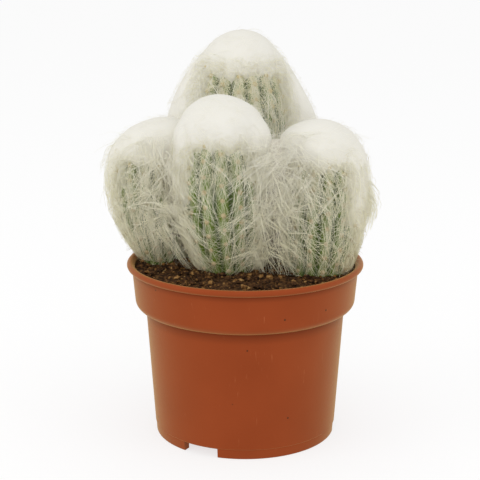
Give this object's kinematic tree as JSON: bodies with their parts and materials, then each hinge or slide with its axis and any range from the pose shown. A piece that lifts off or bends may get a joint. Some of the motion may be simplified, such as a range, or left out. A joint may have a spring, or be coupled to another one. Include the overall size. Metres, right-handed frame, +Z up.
{
  "type": "potted espostoa cactus",
  "caption": "Group of ribbed columnar cacti covered in white wool, in a stepped terracotta-coloured plastic nursery pot with soil.",
  "frame": {"origin": "on the surface that the pot stands on, under the middle of the whole plant's bounding box; the pot's own axis stands at x 5.5 mm, y -5.35 mm", "axes": "+Z up, along the pot's axis; -Y is the front, with the two shorter outer stems to its left (-X) and right (+X) and the tallest stem at the back (+Y)"},
  "size_m": [0.1357, 0.1304, 0.2053],
  "materials": {
    "pot_plastic": "satin moulded plastic, terracotta orange-brown",
    "soil": "rough dark peat with lighter fibres",
    "stem_flesh": "matt green skin",
    "wool": "soft cream-white hair"
  },
  "bodies": {
    "root": {"pot": "pot_plastic", "soil": "soil", "stem_front": "stem_flesh", "stem_left": "stem_flesh", "stem_right": "stem_flesh", "stem_tall": "stem_flesh", "wool_front": "wool", "wool_left": "wool", "wool_right": "wool", "wool_tall": "wool"}
  },
  "joints": []
}
